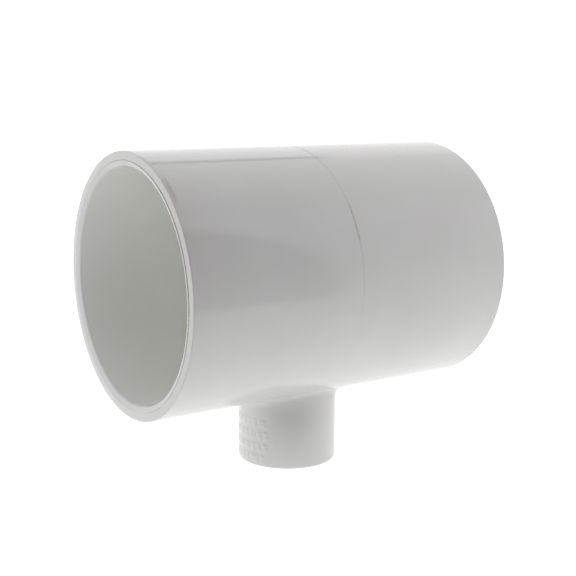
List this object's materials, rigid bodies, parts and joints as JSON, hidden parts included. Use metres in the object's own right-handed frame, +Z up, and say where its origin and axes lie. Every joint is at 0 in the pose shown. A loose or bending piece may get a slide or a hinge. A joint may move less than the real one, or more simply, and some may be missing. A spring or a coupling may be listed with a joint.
{
  "type": "pvc reducing tee fitting",
  "caption": "Moulded PVC pipe tee: a straight run with a slip socket at each end, and a much smaller slip-socket branch at a right angle from its middle.",
  "frame": {"origin": "centre of the branch's end face, on which the tee stands", "axes": "+Z up the branch to the run, +X along the run towards run_half_right, +Y across both"},
  "size_m": [0.098, 0.0686, 0.0872],
  "materials": {
    "white_pvc": "moulded, smooth and glossy"
  },
  "bodies": {
    "root": {"run_half_left": "white_pvc", "run_half_right": "white_pvc", "branch_hub": "white_pvc"}
  },
  "joints": []
}
